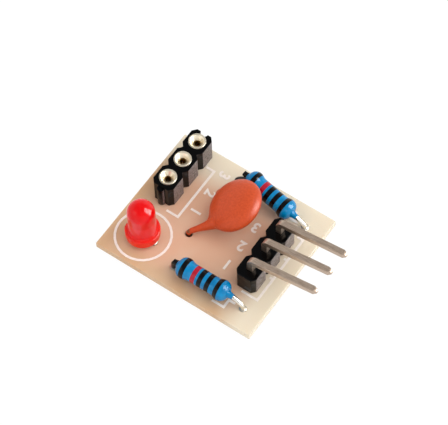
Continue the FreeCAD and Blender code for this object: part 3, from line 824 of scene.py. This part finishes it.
# %% Solder joints
joint_radius, joint_height = 0.85, 0.7
joint_kinds = [  # kinds of lead, radius at the tip, radius in the drilled hole
    (("socket", "resistor"), 0.33, 0.375), (("capacitor",), 0.33, None),
    (("header",), 0.53, 0.57), (("led",), 0.4, 0.42)]
for prefixes, tip_radius, hole_radius in joint_kinds:
    profile = []
    for i in range(9):
        share = i / 8
        flank = tip_radius + (joint_radius - tip_radius) * share ** 2.4
        profile.append((copper_under - joint_height * (1 - share), flank))
    if hole_radius:
        profile += [(copper_under, hole_radius), (0, hole_radius), (0.05, hole_radius - 0.11)]
    joint = turned("joint", profile, 32)
    names = [name for name in lead_names if name.startswith(prefixes)]
    for name, piece in zip(names, copies(joint, [(*leads[n], 0) for n in names])):
        piece.name = f"joint_{name}"
        finish(piece, solder_tin, [f"solder_{name}"], 50)
print("joints:", len(lead_names))

# %% [markdown]
# Screen print labels a pin strip so that a plug goes on the right way. Plain digits do that
# here: one by each socket cell and one by each header pin, each as thick as the ink. A digit
# is written once as text, made a mesh, and copied to both rows.

# %% Printed digits
def printed(text, height):
    """Flat digit round the origin, with a cap height in millimetres."""
    bpy.ops.object.select_all(action="DESELECT")
    bpy.ops.object.text_add()
    piece = bpy.context.object
    piece.data.body = text
    piece.data.size = height * MM * 1.4
    piece.data.align_x, piece.data.align_y = "CENTER", "CENTER"
    piece.data.extrude = 0.012 * MM
    piece.data.offset = 0.045 * MM
    bpy.ops.object.convert(target="MESH")
    return bpy.context.object


ink_height = 0.015
for number in (1, 2, 3):
    socket_y, header_y = leads[f"socket_{number}"][1], leads[f"header_{number}"][1]
    spots = ((-3.1, socket_y - 0.3, -90), (3.0, header_y + 0.15, 180))  # x, y and turn
    digits = copies(printed(str(number), 1.15), [(0, 0, 0)] * len(spots))
    for row, piece, (x, y, turn_degrees) in zip(("socket", "header"), digits, spots):
        piece.location = Vector((x, y, ink_height)) * MM
        piece.rotation_euler.z = math.radians(turn_degrees)
        only(piece)
        bpy.ops.object.transform_apply()
        piece.name = f"digit_{row}_{number}"
        finish(piece, white_ink)
print("digits: 6")

# %% [markdown]
# The floor is plain white. To the camera, and in mirrors, it mostly glows, so the background
# is clean, while the rest of it is ordinary diffuse white that keeps a soft shadow. The world
# does the same for all that looks past the floor. In mirrors the world grows darker towards
# the ceiling, as a room does over a table by a window, so black tops stay black.

# %% Floor and world
def looked_at(material):
    """Two masks: rays from camera, mirrors and clear things, and rays from the camera alone."""
    rays = add_node(material, "ShaderNodeLightPath").outputs
    direct = add_node(material, "ShaderNodeMath", {
        0: rays["Is Camera Ray"], 1: rays["Is Glossy Ray"]}, operation="MAXIMUM")
    seen = add_node(material, "ShaderNodeMath", {
        0: direct.outputs[0], 1: rays["Is Transmission Ray"]}, operation="MAXIMUM")
    return seen.outputs[0], rays["Is Camera Ray"]


floor_size, glow_share = 4.0, 0.93
bpy.ops.object.select_all(action="DESELECT")
bpy.ops.mesh.primitive_plane_add(size=floor_size, location=(0, 0, cad_bounds[0][2]))
floor = bpy.context.object
floor.name = "floor"
bpy.ops.object.transform_apply()
floor_white = plain("white floor", "#F2F2F2", 0.8)
seen, _ = looked_at(floor_white)
share = add_node(floor_white, "ShaderNodeMath", {0: seen, 1: glow_share}, operation="MULTIPLY")
glow = add_node(floor_white, "ShaderNodeEmission", {"Color": (1, 1, 1, 1), "Strength": 1.04})
mixed = add_node(floor_white, "ShaderNodeMixShader", {
    0: share.outputs[0], 1: shader(floor_white).outputs[0], 2: glow.outputs[0]})
output = floor_white.node_tree.nodes["Material Output"]
floor_white.node_tree.links.new(mixed.outputs[0], output.inputs["Surface"])
floor.data.materials.append(floor_white)

world = bpy.context.scene.world or bpy.data.worlds.new("studio")
bpy.context.scene.world = world
world.use_nodes = True
sky = world.node_tree.nodes["Background"]
sky.inputs["Color"].default_value = (1, 1, 1, 1)
seen, from_camera = looked_at(world)
sky_place = add_node(world, "ShaderNodeTexCoord")
sky_axes = add_node(world, "ShaderNodeSeparateXYZ", {"Vector": sky_place.outputs["Generated"]})
ceiling = add_node(world, "ShaderNodeMapRange", {
    "Value": sky_axes.outputs["Z"], "From Min": 0.35, "From Max": 0.75, "To Min": 1.0, "To Max": 0.36},
    interpolation_type="SMOOTHSTEP")
mirrored = add_node(world, "ShaderNodeMix", {0: seen, 2: 0.8, 3: ceiling.outputs["Result"]}, data_type="FLOAT")
strength = add_node(world, "ShaderNodeMix", {0: from_camera, 2: mirrored.outputs[0], 3: 1.0}, data_type="FLOAT")
world.node_tree.links.new(strength.outputs[0], sky.inputs["Strength"])
print("floor at mm:", round(cad_bounds[0][2] / MM, 2))

# %% [markdown]
# The highlights show one large soft window to the right of the camera. It is made as two
# lamps: one lights the surfaces and isn't mirrored, and the other is only mirrored, so the
# colours and the shines can be set apart. A weak lamp fills the shadows from the left.

# %% Lamps
def area_lamp(name, spot, width, height, watts):
    """Rectangular lamp that faces the board's middle."""
    bpy.ops.object.light_add(type="AREA", location=spot)
    lamp = bpy.context.object
    lamp.name = name
    lamp.data.shape = "RECTANGLE"
    lamp.data.size, lamp.data.size_y = width, height
    lamp.data.energy = watts
    lamp.rotation_euler = (-Vector(spot)).to_track_quat("-Z", "Y").to_euler()
    return lamp


key = area_lamp("key", right * 0.28 + up * 0.13 + away * 0.31, 0.40, 0.50, 1.12)
key.visible_glossy = False
window = area_lamp("window", right * 0.42 + up * 0.10 + away * 0.23, 0.32, 0.6, 7.0)
window.visible_diffuse = False
area_lamp("fill", right * -0.30 + away * 0.30, 0.2, 0.2, 0.1)
bpy.context.scene.view_settings.view_transform = "Standard"
